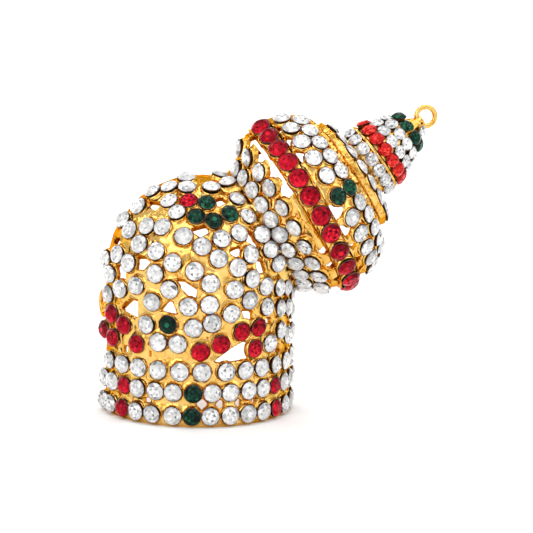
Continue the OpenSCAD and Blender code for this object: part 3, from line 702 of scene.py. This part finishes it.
# Openings of the shoulder: turn, angle above square to the axis, and outline
BUN_HOLES = [
    (-67, 9, [(-1.6, -0.4), (-0.3, 1), (1.5, -0.3), (0.1, -0.7)]),
    (-53.5, 9, [(-1.8, -0.3), (-0.4, 1), (0.5, 1), (1.9, -0.6), (0.1, -0.7)]),
    (-40.5, 9, [(-1.7, -0.7), (-0.2, 1.1), (0.6, 0.9), (1.7, -0.5)]),
    (1, 9.5, [(-2, -0.7), (-1, 0.8), (0.2, 1.9), (1.2, 1.1), (2, -0.7)]),
    (15.5, 9.8, [(-1.9, -0.8), (0.1, 1.8), (1.9, -0.4), (-0.2, -0.8)]),
    (28.8, 9.8, [(-1, -0.5), (0, 0.9), (1, -0.4)]),
    (42.2, 9.8, [(-1, -0.5), (0, 0.8), (1, -0.5)]),
    (55.5, 9.8, [(-1.4, -0.7), (0, 1.2), (1.4, -0.7)]),
    (68.5, 9.8, [(-1.4, -0.7), (0, 1.2), (1.4, -0.7)]),
    (24, 52.5, [(-1.2, 0.5), (0.1, -1.3), (1.2, 0.5)]),
    (-38.5, 46, [(-1, 0.7), (0, -0.9), (1, 0.7)]),
    (-26.5, 48, [(-0.9, 0.6), (0, -0.9), (0.9, 0.6)]),
]


def shoulder(degrees, drop=0.0):
    """Radius and height of the rounded shoulder at an angle above square to the axis."""
    a = np.radians(degrees)
    r = SHOULDER_R - drop
    return np.stack([SHELL_R - SHOULDER_R + r * np.cos(a), SHOULDER_AT + r * np.sin(a)], -1)


def shoulder_place(turn, degrees):
    """Place on the shoulder at a turn and an angle above square to the axis."""
    radius, height = shoulder(degrees)
    return wall_frame(ON_BUN, turn, height, radius, degrees)


# Each raised edge of the band: distance from the band's end, and height
w = np.array([0.0, 0.1, 0.22, 0.34, 0.46, 0.6])
ridge = np.array([0.35, 0.8, 1.0, 0.8, 0.35, 0.0]) * BAND_EDGE
band_line = np.concatenate([
    np.stack([SHELL_R + ridge, BAND_AT + w], 1),
    np.stack([SHELL_R + ridge[::-1], BAND_AT + BAND_W - w[::-1]], 1),
    shoulder(np.linspace(6.5, 75, 70))])
inner_line = np.concatenate([[[SHELL_R - BUN_WALL, BAND_AT]],
                             shoulder(np.linspace(0, 75, 60), BUN_WALL), [shoulder(75)]])
COVE_AT, COVE_L = 35.6, 2.0


def bun_relief(out):
    """Lumps and seats, both weaker on the band, and in the last stretch before the plate a
    hollow, half a sine wave deep, with many sharp dents and small pits painted dark as
    shade, each where the waves of two or one set of lumps meet low. The painted shade under
    the stones is weaker on the band too."""
    pads, shade = seats(out)
    height = ((out - ON_BUN[1]) @ ON_BUN[0])[:, 2]
    band = 1 - smooth_step(height, BAND_AT + BAND_W - 0.4, BAND_AT + BAND_W + 0.4)
    cove = smooth_step(height, COVE_AT, COVE_AT + 0.6)
    rough = 0.05 + 0.1 * (1 - band)
    swell = lumps(out, 4.5, 1.0, 21) * rough + lumps(out, 1.8, 0.25, 22) * rough
    dent = np.clip(lumps(out, 0.85, 0.7, 23) + lumps(out, 0.5, 0.4, 26), -1, 0.3)
    speck = lumps(out, 0.75, 1.0, 27)
    hollow = np.sin(np.clip((height - COVE_AT) / COVE_L, 0, 1) * np.pi)
    hammered = 0.2 * dent + 0.12 * np.clip(speck, -1, 0) - 0.35 * hollow
    swell = swell + pads * (1 - 0.6 * band) + cove * hammered
    # painted shade in the small pits of the hollow
    dark = cove * np.clip(-2.5 * speck - 1.0, 0, 1)
    return swell, np.maximum((0.75 - 0.35 * band) * shade, dark)


# the bun ends 0.1 mm below the plate's back, where its wall comes in to the plate's mouth
bun = wall_of_revolution(
    ON_BUN, band_line, inner_line, [(shoulder_place(t, a), o) for t, a, o in BUN_HOLES],
    0.27, bun_relief, edge=0.1, ledge=11.3,
    plane=(ON_PLATE[1] - ON_PLATE[0][:, 2] * (PLATE_T + 0.1), -ON_PLATE[0][:, 2]))
bun_cups = cups(["bun_clear_stones"] + numbered("bun_green_stone_"), 24)
BAND_LEAN = (0.5, 0.6, 0.5)
band_cups = cups(numbered("band_stone_"), 25, lean=BAND_LEAN)
bun_casting = casting("bun_casting", [bun, bun_cups, band_cups])
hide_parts("bun_shell")
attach(bun_casting, "root")

# ------------------------ the rim plate
# A flat half disc, cast with a rounded edge and soldered over the bun's mouth. Its edge
# is left as cast, with small pits, and its flat carries a ring of clear stones.

# Profile of the plate: the back, the rounded rim, the dip behind it, the raised bed of the
# stones and the flat that the finial stands on
plate_outer = np.array([
    [4.9, -PLATE_T], [PLATE_R - 0.2, -PLATE_T], [PLATE_R, -PLATE_T + 0.2], [PLATE_R, 0.15],
    [PLATE_R - 0.12, 0.3], [PLATE_R - 0.25, 0.3], [12.6, -0.1], [9.1, 1.05], [8.9, 1.1],
    [7.6, 0.92], [7.5, 0.8], [7.5, 0.0], [4.9, 0.0]])


def plate_relief(out, radius):
    """Pitted edge and an even flat: small dents grow from the flat towards the edge. Painted
    shade lies under the stones and in the deeper dents near the edge.
    """
    edge = smooth_step(radius, PLATE_R - 1.2, PLATE_R - 0.4)
    dent = np.clip(lumps(out, 0.8, 1.0, 31), -1, 0.1)
    pads, shade = seats(out, 0.15)
    return (edge * 0.06 * dent + lumps(out, 4.0, 0.04, 32) + pads,
            np.maximum(0.35 * shade, edge * np.clip(-1.5 * dent - 0.7, 0, 0.3)))


def ring_of_profile(frame_of, profile, spacing, relief):
    """Solid from a closed profile carried round the front half of the axis: each row of
    the grid is the whole profile, moved out along its normal by the relief, and both flat
    ends are fans of triangles about the profile's middle."""
    length = carried(profile, 0)[1]
    at, _ = carried(profile, np.linspace(0, length, int(length / spacing)))
    cols = np.radians(np.linspace(-90, 90, int(np.pi * profile[:, 0].max() / spacing)))
    n, m = len(cols), len(at)
    turn, radius = np.repeat(cols, m), np.tile(at[:, 0], n)
    p = revolved(frame_of, radius, np.tile(at[:, 1], n), turn)
    tangent = np.gradient(at, axis=0)
    out = np.tile(unit(np.stack([tangent[:, 1], -tangent[:, 0]], 1)), (n, 1))
    swell, recess_shade = relief(p, radius)
    p = p + revolved((frame_of[0], np.zeros(3)), out[:, 0], out[:, 1], turn) * swell[:, None]
    middle = at.mean(0)
    ends = revolved(frame_of, np.full(2, middle[0]), np.full(2, middle[1]), cols[[0, -1]])
    i, last = np.arange(m), (n - 1) * m
    j = np.roll(i, -1)
    tri = np.concatenate([grid_triangles(n, m, round_cols=True),
                          np.stack([j, i, np.full(m, n * m)], 1),
                          np.stack([i + last, j + last, np.full(m, n * m + 1)], 1)])
    verts = np.concatenate([p, ends])
    away = verts[tri].mean(1) - verts.mean(0)
    if (away * area_normals(verts, tri)).sum() < 0:
        tri = tri[:, ::-1]
    return verts, tri, np.concatenate([recess_shade, [0.5, 0.5]])


plate = ring_of_profile(ON_PLATE, plate_outer, 0.32, plate_relief)
plate_cups = cups(["plate_clear_stones"], 33, height=0.28)
plate_casting = casting("plate_casting", [plate, plate_cups])
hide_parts("rim_plate")
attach(plate_casting, "root")

# ------------------------ the finial
# A hollow half cone, cast with a raised strip under its red row and soldered upright on
# the plate. It runs out into a plain full-round ferrule with a loop of wire through it.

FINIAL_TILT, FINIAL_R = 36.5, 7.4
ON_FINIAL = tilted(FINIAL_TILT, start=ON_PLATE[1])
TIP_WAY = ON_FINIAL[0][:, 2]
finial_line = np.array([
    [0.93, -0.6], [0.95, 0.6], [0.97, 1.6], [1.0, 3.0], [1.0, 5.5], [1.03, 5.65],
    [1.07, 5.75], [1.08, 6.0], [1.07, 6.25], [1.03, 6.4], [0.98, 6.5], [0.93, 8.0],
    [0.79, 10.4], [0.65, 12.7], [0.48, 15.2], [0.3, 16.5]]) * [FINIAL_R, 1]
hollow_line = np.array([[5.15, -0.6], [5.15, 6.3], [3.38, 11.5], [0.4, 11.6], [0.05, 11.7],
                        [0.02, 16.5]])


def finial_relief(out):
    """Faint lumps of 3.5 mm and low seats, with painted shade under the stones."""
    pads, shade = seats(out, 0.15)
    return lumps(out, 3.5, 0.06, 41) + pads, 0.4 * shade


cone = wall_of_revolution(
    ON_FINIAL, finial_line, hollow_line, [], 0.26, finial_relief, edge=0.2,
    plane=(ON_PLATE[1] + ON_PLATE[0][:, 2] * 0.1, ON_PLATE[0][:, 2]))

# the ferrule: a profile of bead, neck and cap carried all round, pushed a little out of
# true about its middle
FERRULE_ROWS, FERRULE_SIDES, FERRULE_MIDDLE = 34, 48, 17.5
ferrule_line = np.array([
    [0.02, 15.9], [2.3, 15.95], [2.2, 16.4], [1.9, 17.0], [1.55, 17.6], [1.25, 18.1],
    [1.15, 18.5], [1.3, 18.9], [1.25, 19.2], [1.0, 19.35], [0.02, 19.4]])
at, _ = carried(ferrule_line, np.linspace(0, carried(ferrule_line, 0)[1], FERRULE_ROWS))
p, ferrule_faces = carried_round(ON_FINIAL, at, FERRULE_SIDES)
p = p + (p - ON_FINIAL[1] - TIP_WAY * FERRULE_MIDDLE) * lumps(p, 2.5, 0.01, 43)[:, None]
ferrule = (p, ferrule_faces, 0.1)

LOOP_AT, LOOP_R, LOOP_WIRE = 20.3, 2.65, 1.12
loop_frame = (ON_FINIAL[0] @ about_z(90), ON_FINIAL[1] + TIP_WAY * LOOP_AT)
loop = wire_ring(loop_frame, LOOP_R, LOOP_WIRE) + (0.0,)
finial_casting = casting("finial_casting", [cone, ferrule, loop])
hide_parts("finial_shell")
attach(finial_casting, "root")

# ------------------------ the stones
# Machine-cut glass chatons, foiled and lacquered brown behind, and glued into their seats.
# Each has a table and three rings of crown facets, and through them shows the bright
# facets of its foiled cone; that reflection is painted as a tone of its own on every facet.

# The ring of facets that a face belongs to, from the middle of the table to the back
INNER, OUTER_A, OUTER_B, STAR, KITE, GIRDLE, GLUE_AND_SHADOW, CONE, BACK = range(9)
# Share of the tones that each ring's facets start from and how widely they vary, for the
# rings up to the girdle
RING_TONE = np.array([0.72, 0.66, 0.62, 0.66, 0.6, 0.54])
RING_SPREAD = np.array([0.16, 0.16, 0.2, 0.2, 0.2, 0.26])
TABLE_POINTS = 17


def chaton():
    """Points, triangles, quads and the ring of each face for a stone with a girdle radius
    of 1 and its back at z = 0: circles of points at falling heights, joined by a table
    split in an inner and an outer ring of tones, 8 star, 8 kite and 16 girdle facets, the
    thin dark ring round the girdle, which stands for the glue and painted shadow in the gap
    to the seat, and the lacquered cone."""
    def circle(radius, z, start, n=8):
        """Points round the axis from a start in degrees."""
        t = np.radians(start + np.arange(n) * 360 / n)
        return np.stack([radius * np.cos(t), radius * np.sin(t), np.full(n, z)], 1)

    points = np.concatenate([
        [[0, 0, 0.75]], circle(0.27, 0.788, 0), circle(0.58, 0.78, 22.5), circle(0.79, 0.64, 0),
        circle(0.945, 0.5, 0, 16), circle(1.0, 0.45, 0, 16), circle(0.7, 0.05, 0, 16),
        [[0, 0, 0.05]]])
    k, i = np.arange(8), np.arange(16)
    n, j = (k + 1) % 8, (i + 1) % 16
    inner, outer, star, rim, half = 1 + k, 9 + k, 17 + k, 25 + 2 * k, 26 + 2 * k
    inner_n, outer_n, star_n, rim_n = 1 + n, 9 + n, 17 + n, 25 + 2 * n
    triangles = [(0 * k, inner, inner_n), (inner, outer, inner_n), (inner_n, outer, outer_n),
                 (outer, star_n, outer_n), (star, rim, half), (half, rim_n, star_n),
                 (57 + i, np.full(16, 73), 57 + j)]
    quads = [(outer, star, half, star_n), (25 + i, 41 + i, 41 + j, 25 + j),
             (41 + i, 57 + i, 57 + j, 41 + j)]
    rings = np.repeat([INNER, OUTER_A, OUTER_B, STAR, GIRDLE, GIRDLE, BACK, KITE, GLUE_AND_SHADOW, CONE],
                      [8] * 6 + [16, 8, 16, 16])
    return (points, np.concatenate([np.stack(f, 1) for f in triangles]),
            np.concatenate([np.stack(f, 1) for f in quads]), rings)


STONE, TRIANGLES, QUADS, RING_OF = chaton()
middles = np.concatenate([STONE[f].mean(1)[:, :2] for f in (TRIANGLES, QUADS)])
FACET_TURN, FACET_REACH = np.arctan2(middles[:, 1], middles[:, 0]), np.hypot(*middles.T)


def glass(name, roughness, coat, shine, metallic):
    """Foiled cut glass: clear glass over a mirror. Each facet keeps its own tone, a painted
    reflection of the foil, and the polished face above it gives the small sharp highlights."""
    material, tree = new_material(name)
    tone = add(tree, "Attribute", {}, attribute_name="tone").outputs["Color"]
    shader = add(tree, "BsdfPrincipled", {
        "Base Color": tone, "Roughness": roughness, "IOR": 1.55, "Specular IOR Level": shine,
        "Metallic": metallic, "Coat Weight": coat, "Coat Roughness": 0.03})
    add(tree, "OutputMaterial", {"Surface": shader})
    return material


clear_glass = glass("clear_foiled_glass", 0.15, coat=0.45, shine=0.3, metallic=0.3)
red_glass = glass("red_foiled_glass", 0.2, coat=0.08, shine=0.05, metallic=0.35)
green_glass = glass("green_foiled_glass", 0.2, coat=0.15, shine=0.05, metallic=0.35)

# Brown lacquer that keeps the foil on: the eye sees a dark, glossy, slightly cloudy edge.
# On the thin ring round the girdle it also stands for the glue and painted shadow in the
# gap to the seat.
lacquer, tree = new_material("brown_foil_lacquer")
place = add(tree, "TexCoord", {}).outputs["Object"]
mottle = add(tree, "TexNoise", {"Vector": place, "Scale": 1 / (1.1 * MM), "Detail": 2.0})
brown = add(tree, "ValToRGB", {"Fac": mottle}, stops=[
    (0.35, "#2E1A10"), (0.55, "#4A2C18"), (0.75, "#7A4E2A")])
shader = add(tree, "BsdfPrincipled", {"Base Color": brown, "Roughness": 0.28})
add(tree, "OutputMaterial", {"Surface": shader})

# Tones of each kind of stone, from dark to light: the glass's colour with the foil's
# reflection painted in
CLEAR_TONES = ["#6E7074", "#949699", "#B0B0B1", "#C4C4C4", "#D2D2D2", "#DEDEDE", "#F2F2F2"]
RED_TONES = ["#3C0006", "#62020E", "#820418", "#9E061C", "#BA0822", "#E21E34"]
BRIGHT_RED_TONES = ["#4C0406", "#7E0A0C", "#A61414", "#C01C1A", "#D22C26", "#F05044"]
GREEN_TONES = ["#000604", "#01120C", "#031E15", "#052A1E", "#083A2A", "#1C6248"]


def facet_tones(rng, axes, codes, table_shift, contrast, painted_glow):
    """Linear colour of each facet of each stone, read at a share along a row of tones; the
    share paints the light that the foil reflects. The share is its ring's, plus a draw for
    the facet and one for the stone. The foil's wedges add and take away by turns round the
    stone, and the facets towards the light lose the painted glow that the far side gets.
    A few facets are dark. One stone in ten is misty round a bright middle, and nearly two
    in ten are stars with strong wedges."""
    n, ring = len(axes), np.minimum(RING_OF, GIRDLE)
    kind = rng.random((n, 1))
    misty, starry = kind < 0.1, kind > 0.82
    spread = RING_SPREAD[ring] * contrast * np.where(misty, 0.35, 1)
    share = rng.normal(0, 1, (n, len(ring))) * spread + RING_TONE[ring]
    share += np.where(misty, np.where(ring == INNER, 0.3, -0.2), 0)
    share += starry * (ring == INNER) * 0.2
    share += rng.normal(0, 0.06, (n, 1)) + np.where(RING_OF < STAR, table_shift, 0)
    wedge = np.where(starry, 0.42, rng.uniform(0.05, 0.25, (n, 1)))
    share += (ring < KITE) * wedge * np.cos(4 * FACET_TURN + np.pi * (ring % 2))
    way = sum(turned[None, :, None] * axes[:, None, :, k]
              for k, turned in enumerate((np.cos(FACET_TURN), np.sin(FACET_TURN))))
    # painted light: facets towards the light above lose the glow, those on the far side gain it
    share -= painted_glow * FACET_REACH * (way @ [0.35, 0.1, 0.9])
    dark = rng.random((n, len(ring))) < np.where(ring == GIRDLE, 0.12, 0.05) * contrast
    share = np.clip(np.where(dark, share * 0.4, share), 0, 1) * (len(codes) - 1)
    table = np.array([linear(c) for c in codes])
    return np.stack([np.interp(share, np.arange(len(codes)), table[:, k]) for k in range(4)], -1)


PLAIN_SWELL, GIRDLE_H = 1.055, 0.9


def set_stones(name, nodes, material, codes, slot_name, seed, table_shift=0.0,
               swell=PLAIN_SWELL, glue_and_shadow_ring=True, contrast=1.0, painted_glow=0.22, lap=0.0,
               lean=UPRIGHT_STONES):
    """All stones of some CAD nodes as one piece: the cut stone is scaled, turned at random
    about its own axis, tilted a little and set in each stone's seat, with a painted tone for
    each of its facets. It swells to the given times its size where the next stone leaves
    room. An edged stone has a thin dark ring of lacquer round its girdle, which stands for
    the glue and painted shadow in the gap to its seat. Stones that lap lean back along
    the finial, so that each one's lower edge lies over the next."""
    stones = leaning(stones_of(*nodes), lean)
    rng = np.random.default_rng(seed)
    n = len(stones)
    axis = stones[:, 3:6]
    side = unit(np.cross(axis, ASIDE))
    turn = rng.uniform(0, 2 * np.pi, n)[:, None]
    axis = unit(axis + rng.normal(0, 0.05, (n, 3)) - lap * np.cross(TIP_WAY, axis))
    side = side * np.cos(turn) + np.cross(axis, side) * np.sin(turn)
    side = unit(side - axis * (side * axis).sum(1)[:, None])
    axes = np.stack([side, np.cross(axis, side), axis], 2)
    local = np.broadcast_to(STONE, (n,) + STONE.shape).copy()
    local[:, :TABLE_POINTS, 2] += rng.normal(0, 0.006, (n, TABLE_POINTS))
    apart = np.linalg.norm(
        stones[:, None, :3] + stones[:, None, 3:6] * GIRDLE_H
        - (ALL_STONES[:, :3] + ALL_STONES[:, 3:6] * GIRDLE_H), axis=2)
    room = np.sort(apart, axis=1)[:, 1] / 2 * swell / PLAIN_SWELL
    size = np.clip(room, stones[:, 6], stones[:, 6] * swell)[:, None, None]
    verts = np.einsum("sij,spj->spi", axes, local) * size + stones[:, None, :3]
    first = np.arange(n)[:, None, None] * len(STONE)
    faces = [(f + first).reshape(-1, f.shape[1]) for f in (TRIANGLES, QUADS)]
    colour = facet_tones(rng, axes, codes, table_shift, contrast, painted_glow)
    ring, t = np.tile(RING_OF, (n, 1)), len(TRIANGLES)
    ring = np.concatenate([ring[:, :t].ravel(), ring[:, t:].ravel()])
    colour = np.concatenate([colour[:, :t].reshape(-1, 4), colour[:, t:].reshape(-1, 4)])
    # faces from the girdle's dark ring outwards get the lacquer; that ring paints the glue and
    # the shadow in the gap to the seat
    piece = mesh_piece(name, verts.reshape(-1, 3), faces, [material, lacquer],
                       ring >= (GLUE_AND_SHADOW if glue_and_shadow_ring else CONE), facets=True)
    corners = np.repeat(colour, np.repeat([3, 4], [len(f) for f in faces]), axis=0)
    piece.data.attributes.new("tone", "FLOAT_COLOR", "CORNER").data.foreach_set(
        "color", corners.astype(np.float32).ravel())
    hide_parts(*nodes)
    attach(piece, "root")


for place_name, seed, lean, finish in (
        ("tube", 51, CROWN_LEAN, {}),
        ("dome", 52, CROWN_LEAN, {}),
        # the collar's stones face away from the lights, so their tables are painted brighter
        ("collar", 53, COLLAR_LEAN, {"table_shift": 0.2}),
        ("bun", 54, UPRIGHT_STONES, {}),
        ("plate", 55, UPRIGHT_STONES, {}),
        ("finial", 56, UPRIGHT_STONES,
         {"table_shift": -0.12, "swell": 1.12, "glue_and_shadow_ring": False, "contrast": 1.6})):
    set_stones(place_name + "_clear_chatons", [place_name + "_clear_stones"], clear_glass,
               CLEAR_TONES, "clear_stone", seed, lean=lean, **finish)
# the red stones have darker tables, less contrast and a stronger painted glow
deep_red = {"table_shift": -0.1, "contrast": 0.75, "painted_glow": 0.42}
lapping = {"swell": 1.26, "glue_and_shadow_ring": False, "lap": 0.2}
set_stones("scattered_red_chatons", numbered("red_stone_"), red_glass, RED_TONES,
           "red_stone", 61, lean=CROWN_LEAN, **deep_red)
set_stones("band_red_chatons", numbered("band_stone_"), red_glass, RED_TONES,
           "red_stone", 62, lean=BAND_LEAN, **deep_red)
set_stones("finial_red_chatons", ["finial_red_stones"], red_glass, BRIGHT_RED_TONES,
           "red_stone", 63, **lapping)
set_stones("scattered_green_chatons", numbered("green_stone_"), green_glass, GREEN_TONES,
           "green_stone", 64, lean=CROWN_LEAN)
set_stones("bun_green_chatons", numbered("bun_green_stone_"), green_glass, GREEN_TONES,
           "green_stone", 65)
set_stones("finial_green_chatons", ["finial_green_stones"], green_glass, GREEN_TONES,
           "green_stone", 66, **lapping)

# ------------------------ floor, light and camera
# A pale matt floor that curves up into a wall, a wide soft light from above and in front,
# and weaker ones from the sides. The camera looks slightly down on the crown's front.

FLOOR_NEAR, FLOOR_FAR, BEND_R, WALL_H, HALF_WIDTH = -3000.0, 1500, 900, 1000.0, 4500.0
bend = np.linspace(0, np.pi / 2, 24)
line = np.concatenate([
    [[FLOOR_NEAR, 0.0]],
    np.stack([FLOOR_FAR + BEND_R * np.sin(bend), BEND_R - BEND_R * np.cos(bend)], 1),
    [[FLOOR_FAR + BEND_R, WALL_H]]])
verts = np.stack([np.repeat([-HALF_WIDTH, HALF_WIDTH], len(line)), np.tile(line[:, 0], 2),
                  np.tile(line[:, 1], 2)], 1)
i = np.arange(len(line) - 1)
floor_faces = np.stack([i, i + len(line), i + len(line) + 1, i + 1], 1)
# Pale matt paper, which the eye sees as even, with hardly a shine
pale, tree = new_material("pale_paper")
shader = add(tree, "BsdfPrincipled", {"Base Color": linear("#F4F4F4"), "Roughness": 0.9,
                                      "Specular IOR Level": 0.1})
add(tree, "OutputMaterial", {"Surface": shader})
floor = mesh_piece("floor", verts, [floor_faces], [pale])


def soft_light(name, place, aim, size, power):
    """Rectangular soft light at a place in metres that faces a point."""
    data = bpy.data.lights.new(name, "AREA")
    data.shape, data.size, data.size_y, data.energy = "RECTANGLE", size[0], size[1], power
    lamp = bpy.data.objects.new(name, data)
    bpy.context.scene.collection.objects.link(lamp)
    lamp.location = place
    way = Vector(aim) - Vector(place)
    lamp.rotation_euler = way.to_track_quat("-Z", "Y").to_euler()


on_crown, on_wall = (0.015, -0.01, 0.035), (0.0, 2.2, 0.2)
soft_light("top_light", (0.1, -0.35, 1.1), on_crown, (1.7, 1.3), 7.7)
soft_light("front_left_light", (-0.95, -0.9, 0.6), on_crown, (0.8, 1.1), 5.3)
soft_light("front_right_light", (1.0, -0.8, 0.5), on_crown, (0.7, 1.1), 3.2)
soft_light("wall_light", (0.0, 0.9, 1.4), on_wall, (4.2, 0.6), 75)

world = bpy.data.worlds.new("studio")
world.use_nodes = True
world.node_tree.nodes.clear()
sky = add(world.node_tree, "Background", {"Color": linear("#F4F3F1"), "Strength": 0.8})
add(world.node_tree, "OutputWorld", {"Surface": sky})
bpy.context.scene.world = world

# Where the camera stands round the crown and how it is rolled, in degrees, and how far
# off it is and what its middle is aimed at, across and up the picture, in millimetres
TURN, LIFT, ROLL = (math.radians(a) for a in (-12.5, 10.8, 1.2))
DISTANCE, AIM_ACROSS, AIM_UP = 600.0, 15.457, 30.152
stand = (Matrix.Rotation(TURN, 4, "Z") @ Matrix.Rotation(math.pi / 2 - LIFT, 4, "X")
         @ Matrix.Rotation(ROLL, 4, "Z"))
lens = bpy.data.cameras.new("camera")
lens.lens, lens.sensor_width = 186.4, 36.0
lens.clip_start, lens.clip_end = 0.01, 20.0
camera = bpy.data.objects.new("camera", lens)
camera.matrix_world = stand @ Matrix.Translation(
    Vector((AIM_ACROSS, AIM_UP, DISTANCE)) * MM)
bpy.context.scene.collection.objects.link(camera)
bpy.context.scene.camera = camera
bpy.context.scene.view_settings.view_transform = "Standard"
